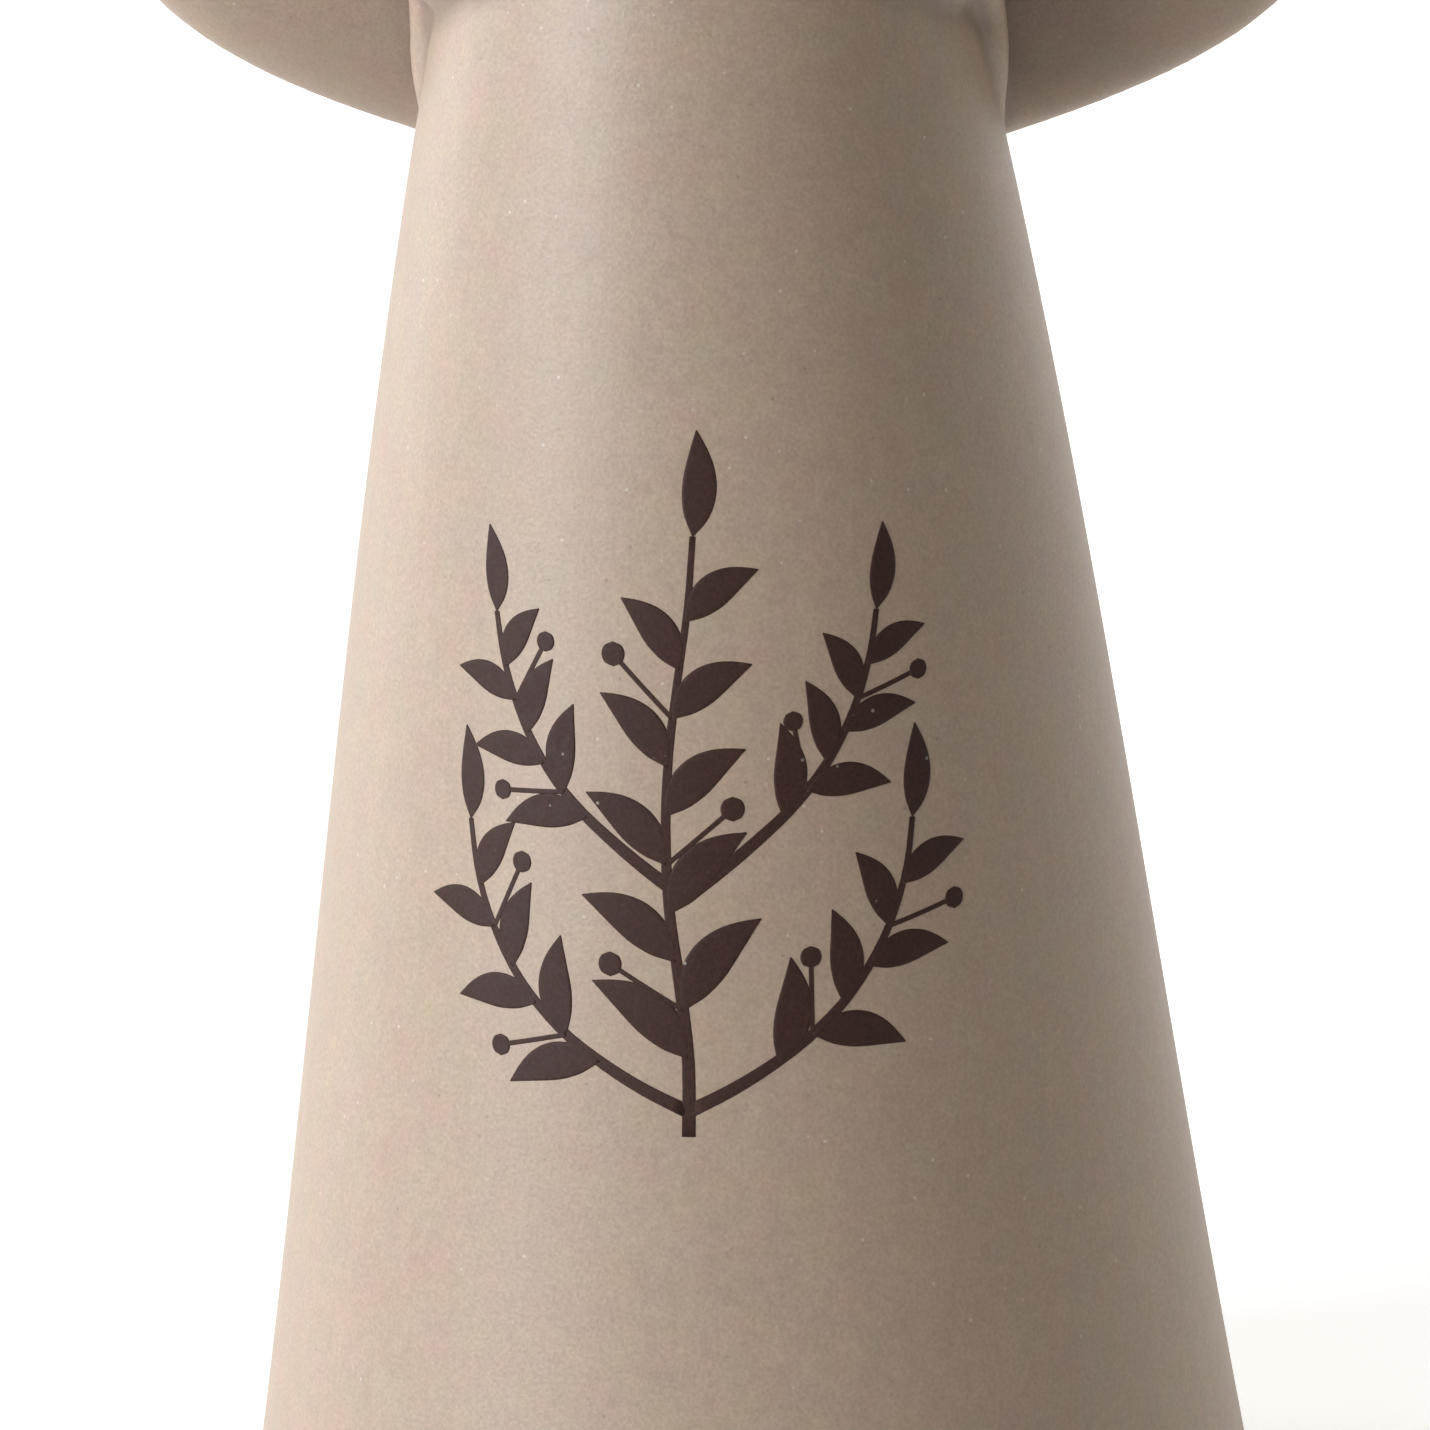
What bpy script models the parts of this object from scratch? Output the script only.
"""Angel figurine, cast in one piece of matte resin.

A tall conical robe narrows to round shoulders under a plain egg-shaped head
with a cap of hair and a low bun. Two plump wings, like the halves of a heart,
grow out of its back, and loose sleeves bring the hands together on the chest.
The casting stands on its flat underside.

Metres, +Z up. The origin is the centre of the underside and the figure faces
-Y. Every form is closed and runs into the robe. A voxel remesh then makes
them one skin, and a smoothing pass gives the soft fillets of a mould.
"""

import math

import bmesh
import bpy
from mathutils import Matrix, Vector
from mathutils.geometry import interpolate_bezier

# Robe: one long curve from the shoulder to the hem, turned about Z.
# A taper is the radius gained for each unit of height lost.
HEM_RADIUS = 0.0404
HEM_ROUNDING = 0.0016
HEM_TAPER = 0.168
SHOULDER_HEIGHT = 0.1450
SHOULDER_RADIUS = 0.0158
SHOULDER_TAPER = 0.26
SHOULDER_SLOPE = 0.0125
SHOULDER_ROUNDNESS = 0.45
NECK_RADIUS = 0.0060
NECK_FLARE = 0.0032
NECK_HEIGHT = 0.0055

# Head: an egg that narrows towards the chin.
HEAD_WIDTH = 0.0290
HEAD_DEPTH = 0.0300
HEAD_HEIGHT = 0.0340
CHIN_NARROWING = 0.20
NECK_IN_HEAD = 0.0035
NOSE_LENGTH = 0.0056
NOSE_WIDTH = 0.0032
NOSE_RELIEF = 0.0014
NOSE_DROP = 0.0036

# Hair: a cap around the head that ends on a slanting plane, and a low bun.
HAIR_THICKNESS = 0.0015
HAIRLINE_RISE = 0.0092
HAIRLINE_SLANT_DEG = 43.0
BUN_RADIUS = 0.0074
BUN_SINK = 0.0050
BUN_RISE_DEG = 4.0

# Wings: the half of a heart, plump in the middle and round at the rim.
WING_SPAN = 0.0990
WING_ROOT_HEIGHT = 0.1092
WING_ROOT_INSET = 0.0060
WING_ROOT_RISE_DEG = 16.7
WING_WIDEST_HEIGHT = 0.1350
WING_TOP_HEIGHT = 0.1655
WING_TOP_SPREAD = 0.0300
WING_NOTCH_HEIGHT = 0.1480
WING_NOTCH_SPREAD = 0.0075
WING_LOWER_FULLNESS = 0.69
WING_OUTER_FULLNESS = 0.54
WING_UPPER_FULLNESS = 0.56
WING_INNER_FULLNESS = 0.42
WING_HALF_THICKNESS = 0.0080
WING_RIM_SHARPNESS = 0.70
WING_SETBACK = 0.0097
WING_SWEEP_DEG = 2.0
WING_LEAN_DEG = 9.0

# Sleeves: each hangs from the shoulder to the elbow and comes forward to the cuff.
# A bearing is counted from the front, and sunk is how deep a centre line lies in the robe.
SLEEVE_SHOULDER_RADIUS = 0.0064
SLEEVE_ELBOW_RADIUS = 0.0062
SLEEVE_CUFF_RADIUS = 0.0055
SLEEVE_SUNK = 0.0010
ELBOW_HEIGHT = 0.1300
ELBOW_BEARING_DEG = 84.0
FOREARM_BEARING_DEG = 50.0
CUFF_HEIGHT = 0.1370
CUFF_BEARING_DEG = 19.0

# Fold: the loose cloth that hangs from each elbow and runs out into the robe.
FOLD_MIDDLE_HEIGHT = 0.1220
FOLD_MIDDLE_RADIUS = 0.0032
FOLD_MIDDLE_SUNK = 0.0014
FOLD_FOOT_HEIGHT = 0.1135
FOLD_FOOT_RADIUS = 0.0012

# Hands: palm to palm, finger tips up and a little forward.
HANDS_WIDTH = 0.0066
HANDS_DEPTH = 0.0078
HANDS_LENGTH = 0.0176
HANDS_LEAN_DEG = 12.0
HANDS_STANDOFF = 0.0036
HANDS_RISE = 0.0076
WRIST_RADIUS = 0.0028

# Skin of the casting: a finer voxel shows more, and more passes widen the fillets.
VOXEL = 0.00070
FILLET_PASSES = 4
FILLET_STRENGTH = 0.5
SKIN_TRIANGLES = 9600

# Facets of the closed forms before they are made one skin.
ROBE_SEGMENTS = 160
CURVE_STEPS = 48
QUARTER_STEPS = 6
LOBE_SEGMENTS = 72
LOBE_RINGS = 36
TUBE_STEPS = 20
TUBE_RESOLUTION = 8

NECK_FOOT = SHOULDER_HEIGHT + SHOULDER_SLOPE
NECK_TOP = NECK_FOOT + NECK_HEIGHT
HEAD_CENTRE = Vector((0, 0, NECK_TOP - NECK_IN_HEAD + HEAD_HEIGHT / 2))


def bezier(knot, handle, next_handle, next_knot):
    """Points of one cubic curve, both ends included."""
    corners = [Vector(p).to_3d() for p in (knot, handle, next_handle, next_knot)]
    return interpolate_bezier(*corners, CURVE_STEPS)


def robe_side():
    """The robe's outer line from the shoulder down to the hem, as (radius, 0, z)."""
    reach = (SHOULDER_HEIGHT - HEM_ROUNDING) / 3
    top = (SHOULDER_RADIUS, 0, SHOULDER_HEIGHT)
    top_handle = (SHOULDER_RADIUS + SHOULDER_TAPER * reach, 0, SHOULDER_HEIGHT - reach)
    hem_handle = (HEM_RADIUS - HEM_TAPER * reach, 0, HEM_ROUNDING + reach)
    return bezier(top, top_handle, hem_handle, (HEM_RADIUS, 0, HEM_ROUNDING))


def shoulder_side():
    """The line from the neck's foot over the round shoulder to the top of the side."""
    rise = SHOULDER_SLOPE * SHOULDER_ROUNDNESS
    top = (SHOULDER_RADIUS, 0, SHOULDER_HEIGHT)
    top_handle = (SHOULDER_RADIUS - SHOULDER_TAPER * rise, 0, SHOULDER_HEIGHT + rise)
    neck_handle = (NECK_RADIUS, 0, NECK_FOOT - NECK_FLARE)
    return bezier((NECK_RADIUS, 0, NECK_FOOT), neck_handle, top_handle, top)


ROBE_SIDE = shoulder_side()[:-1] + robe_side()


def robe_radius(height):
    """Radius of the robe at one height, read off its outer line."""
    for upper, lower in zip(ROBE_SIDE, ROBE_SIDE[1:]):
        if lower.z <= height <= upper.z:
            share = (height - lower.z) / (upper.z - lower.z)
            return lower.x + share * (upper.x - lower.x)
    return NECK_RADIUS if height > NECK_FOOT else HEM_RADIUS


def on_robe(height, bearing_deg, standoff):
    """A point this far outside the robe, at a height and a bearing."""
    bearing = math.radians(bearing_deg)
    out = robe_radius(height) + standoff
    return Vector((out * math.sin(bearing), -out * math.cos(bearing), height))


def robe_profile():
    """The whole profile, from the top of the neck down the outer side to the axis."""
    points = [Vector((0, 0, NECK_TOP)), Vector((NECK_RADIUS, 0, NECK_TOP))]
    points += ROBE_SIDE
    centre = Vector((HEM_RADIUS - HEM_ROUNDING, 0, HEM_ROUNDING))
    for step in range(1, QUARTER_STEPS + 1):
        turn = math.pi / 2 * step / QUARTER_STEPS
        out = Vector((math.cos(turn), 0, -math.sin(turn)))
        points.append(centre + out * HEM_ROUNDING)
    points.append(Vector((0, 0, 0)))
    return points


def mesh_of(helper):
    """The evaluated shape of a helper object, with its seams welded. The helper goes."""
    graph = bpy.context.evaluated_depsgraph_get()
    mesh = bpy.data.meshes.new_from_object(helper.evaluated_get(graph))
    bpy.data.objects.remove(helper)
    shape = bmesh.new()
    shape.from_mesh(mesh)
    bpy.data.meshes.remove(mesh)
    bmesh.ops.remove_doubles(shape, verts=shape.verts, dist=0.000001)
    return shape


def turned_robe():
    """The robe, shoulders and neck, turned from the profile."""
    mesh = bpy.data.meshes.new("robe_profile")
    points = robe_profile()
    edges = [(i, i + 1) for i in range(len(points) - 1)]
    mesh.from_pydata(points, edges, [])
    robe = bpy.data.objects.new("robe_profile", mesh)
    bpy.context.scene.collection.objects.link(robe)
    screw = robe.modifiers.new("turn", "SCREW")
    screw.axis = "Z"
    screw.steps = ROBE_SEGMENTS
    screw.render_steps = ROBE_SEGMENTS
    screw.use_merge_vertices = True
    screw.merge_threshold = 0.00001
    return mesh_of(robe)


def ellipsoid(size, centre):
    """An ellipsoid from its three full sizes."""
    shape = bmesh.new()
    bmesh.ops.create_uvsphere(
        shape, u_segments=LOBE_SEGMENTS, v_segments=LOBE_RINGS, radius=0.5
    )
    bmesh.ops.scale(shape, vec=size, verts=shape.verts)
    bmesh.ops.translate(shape, vec=centre, verts=shape.verts)
    return shape


def head_egg(cover):
    """The head's egg, grown by this much all round."""
    size = Vector((HEAD_WIDTH, HEAD_DEPTH, HEAD_HEIGHT)) + 2 * Vector((cover,) * 3)
    shape = ellipsoid(size, HEAD_CENTRE)
    for vert in shape.verts:
        below = max(0.0, (HEAD_CENTRE.z - vert.co.z) / (size.z / 2))
        keep = 1 - CHIN_NARROWING * below**2
        vert.co.x *= keep
        vert.co.y *= keep
    return shape


def hair_cap():
    """A thicker egg, kept behind a plane that slants from the forehead to the nape."""
    cap = head_egg(HAIR_THICKNESS)
    brow = HEAD_CENTRE + Vector((0, -HEAD_DEPTH / 2, HAIRLINE_RISE))
    slant = math.radians(HAIRLINE_SLANT_DEG)
    down_and_forward = Vector((0, -math.sin(slant), -math.cos(slant)))
    cut = bmesh.ops.bisect_plane(
        cap,
        geom=cap.verts[:] + cap.edges[:] + cap.faces[:],
        plane_co=brow,
        plane_no=down_and_forward,
        clear_outer=True,
    )
    rim = [part for part in cut["geom_cut"] if isinstance(part, bmesh.types.BMEdge)]
    bmesh.ops.contextual_create(cap, geom=rim)
    bmesh.ops.recalc_face_normals(cap, faces=cap.faces)
    return cap


def head_forms():
    """Head, hair cap, bun and nose."""
    rise = math.radians(BUN_RISE_DEG)
    reach = HEAD_DEPTH / 2 + HAIR_THICKNESS + BUN_RADIUS - BUN_SINK
    bun_centre = HEAD_CENTRE + reach * Vector((0, math.cos(rise), math.sin(rise)))
    bun = ellipsoid((2 * BUN_RADIUS,) * 3, bun_centre)
    nose_centre = HEAD_CENTRE + Vector((0, -HEAD_DEPTH / 2, -NOSE_DROP))
    nose = ellipsoid((NOSE_WIDTH, 2 * NOSE_RELIEF, NOSE_LENGTH), nose_centre)
    return [head_egg(0), hair_cap(), bun, nose]


def wing_rim():
    """The wing's rim as seen from the front, a closed loop of (x, 0, z)."""
    up = Vector((0, 0, 1))
    out = Vector((1, 0, 0))
    rise = math.radians(WING_ROOT_RISE_DEG)
    along = Vector((math.cos(rise), 0, math.sin(rise)))
    root_x = robe_radius(WING_ROOT_HEIGHT) - WING_ROOT_INSET
    root = Vector((root_x, 0, WING_ROOT_HEIGHT))
    widest = Vector((WING_SPAN / 2, 0, WING_WIDEST_HEIGHT))
    top = Vector((WING_TOP_SPREAD, 0, WING_TOP_HEIGHT))
    notch = Vector((WING_NOTCH_SPREAD, 0, WING_NOTCH_HEIGHT))
    lower = (widest.x - root.x) * WING_LOWER_FULLNESS
    outer = (widest.z - root.z) * WING_OUTER_FULLNESS
    upper_side = (top.z - widest.z) * WING_UPPER_FULLNESS
    upper_top = (widest.x - top.x) * WING_UPPER_FULLNESS
    inner = (top.x - notch.x) * WING_INNER_FULLNESS
    sides = [
        bezier(root, root + along * lower, widest - up * outer, widest),
        bezier(widest, widest + up * upper_side, top + out * upper_top, top),
        bezier(top, top - out * inner, notch + up * inner / 2, notch),
        bezier(notch, notch - up * inner, root - along * inner, root),
    ]
    return [point for side in sides for point in side[:-1]]


def wing():
    """The right wing: a sphere whose equator is drawn out to the wing's rim."""
    rim = wing_rim()
    centre = sum(rim, Vector()) / len(rim)
    sweep = math.tan(math.radians(WING_SWEEP_DEG))
    lean = math.tan(math.radians(WING_LEAN_DEG))
    shape = bmesh.new()
    bmesh.ops.create_uvsphere(
        shape, u_segments=LOBE_SEGMENTS, v_segments=LOBE_RINGS, radius=1
    )
    for vert in shape.verts:
        reach = math.hypot(vert.co.x, vert.co.y)
        place = math.atan2(vert.co.y, vert.co.x) / math.tau % 1 * len(rim)
        before = int(place) % len(rim)
        point = rim[before].lerp(rim[(before + 1) % len(rim)], place % 1)
        flat = centre.lerp(point, reach**WING_RIM_SHARPNESS)
        back = WING_SETBACK + (flat.x - SHOULDER_RADIUS) * sweep
        back -= (flat.z - WING_WIDEST_HEIGHT) * lean
        vert.co = (flat.x, back - vert.co.z * WING_HALF_THICKNESS, flat.z)
    bmesh.ops.recalc_face_normals(shape, faces=shape.faces)
    return shape


def tube(points, radii):
    """A round tube through these points, with a radius at each."""
    curve = bpy.data.curves.new("tube", "CURVE")
    curve.dimensions = "3D"
    curve.bevel_depth = 1.0
    curve.bevel_resolution = TUBE_RESOLUTION
    curve.resolution_u = TUBE_STEPS
    curve.use_fill_caps = True
    spline = curve.splines.new("BEZIER")
    spline.bezier_points.add(len(points) - 1)
    for knot, point, radius in zip(spline.bezier_points, points, radii):
        knot.co = point
        knot.radius = radius
        knot.handle_left_type = "AUTO"
        knot.handle_right_type = "AUTO"
    helper = bpy.data.objects.new("tube", curve)
    bpy.context.scene.collection.objects.link(helper)
    return mesh_of(helper)


def hands_centre():
    """Middle of the joined hands, in front of the chest between the cuffs."""
    centre = on_robe(CUFF_HEIGHT, 0, HANDS_STANDOFF)
    centre.z += HANDS_RISE
    return centre


def arm_forms():
    """The right sleeve from shoulder to cuff, its hanging fold, and the wrist."""
    shoulder = Vector((SHOULDER_RADIUS - SLEEVE_SHOULDER_RADIUS, 0, SHOULDER_HEIGHT))
    upper_height = (SHOULDER_HEIGHT + ELBOW_HEIGHT) / 2
    upper = on_robe(upper_height, ELBOW_BEARING_DEG, -SLEEVE_SUNK)
    elbow = on_robe(ELBOW_HEIGHT, ELBOW_BEARING_DEG, -SLEEVE_SUNK)
    forearm_height = (ELBOW_HEIGHT + CUFF_HEIGHT) / 2
    forearm = on_robe(forearm_height, FOREARM_BEARING_DEG, -SLEEVE_SUNK)
    cuff = on_robe(CUFF_HEIGHT, CUFF_BEARING_DEG, -SLEEVE_SUNK)
    sleeve_radii = [SLEEVE_SHOULDER_RADIUS] * 2
    sleeve_radii += [SLEEVE_ELBOW_RADIUS, SLEEVE_CUFF_RADIUS, SLEEVE_CUFF_RADIUS]
    sleeve = tube([shoulder, upper, elbow, forearm, cuff], sleeve_radii)
    fold_middle = on_robe(FOLD_MIDDLE_HEIGHT, ELBOW_BEARING_DEG, -FOLD_MIDDLE_SUNK)
    fold_foot = on_robe(FOLD_FOOT_HEIGHT, ELBOW_BEARING_DEG, -FOLD_FOOT_RADIUS)
    fold_radii = [SLEEVE_ELBOW_RADIUS, FOLD_MIDDLE_RADIUS, FOLD_FOOT_RADIUS]
    fold = tube([elbow, fold_middle, fold_foot], fold_radii)
    wrist = tube([cuff, hands_centre()], [WRIST_RADIUS, WRIST_RADIUS])
    return [sleeve, fold, wrist]


def hands():
    """Both hands, palm to palm."""
    shape = ellipsoid((HANDS_WIDTH, HANDS_DEPTH, HANDS_LENGTH), Vector())
    lean = Matrix.Rotation(math.radians(HANDS_LEAN_DEG), 3, "X")
    bmesh.ops.rotate(shape, matrix=lean, verts=shape.verts)
    bmesh.ops.translate(shape, vec=hands_centre(), verts=shape.verts)
    return shape


def mirrored(shape):
    """A copy on the other side of the figure, with its faces turned back out."""
    other = shape.copy()
    bmesh.ops.scale(other, vec=(-1, 1, 1), verts=other.verts)
    bmesh.ops.reverse_faces(other, faces=other.faces)
    return other


def joined(shapes):
    """One mesh that holds all the closed forms."""
    whole = bmesh.new()
    for shape in shapes:
        form = bpy.data.meshes.new("form")
        shape.to_mesh(form)
        shape.free()
        whole.from_mesh(form)
        bpy.data.meshes.remove(form)
    mesh = bpy.data.meshes.new("angel_figurine")
    whole.to_mesh(mesh)
    whole.free()
    return mesh


def cast_skin(figurine):
    """One skin over all the forms, softened where they meet, in few triangles."""
    remesh = figurine.modifiers.new("one_skin", "REMESH")
    remesh.mode = "VOXEL"
    remesh.voxel_size = VOXEL
    smooth = figurine.modifiers.new("fillets", "SMOOTH")
    smooth.factor = FILLET_STRENGTH
    smooth.iterations = FILLET_PASSES
    bpy.context.view_layer.update()
    graph = bpy.context.evaluated_depsgraph_get()
    skin = figurine.evaluated_get(graph).data
    full = len(skin.loops) - 2 * len(skin.polygons)
    decimate = figurine.modifiers.new("facets", "DECIMATE")
    decimate.ratio = min(1.0, SKIN_TRIANGLES / full)


def resin():
    """Matte warm grey resin."""
    material = bpy.data.materials.new("matte_resin")
    material.use_nodes = True
    shader = material.node_tree.nodes["Principled BSDF"]
    shader.inputs["Base Color"].default_value = (0.42, 0.34, 0.27, 1.0)
    shader.inputs["Roughness"].default_value = 0.62
    shader.inputs["Metallic"].default_value = 0.0
    return material


def main():
    for obj in list(bpy.data.objects):
        bpy.data.objects.remove(obj)
    group = bpy.data.collections.new("angel_figurine")
    bpy.context.scene.collection.children.link(group)
    right_forms = [wing()] + arm_forms()
    forms = [turned_robe(), hands()] + head_forms() + right_forms
    forms += [mirrored(shape) for shape in right_forms]
    figurine = bpy.data.objects.new("angel_figurine", joined(forms))
    group.objects.link(figurine)
    figurine.data.materials.append(resin())
    figurine.data.shade_smooth()
    cast_skin(figurine)


main()
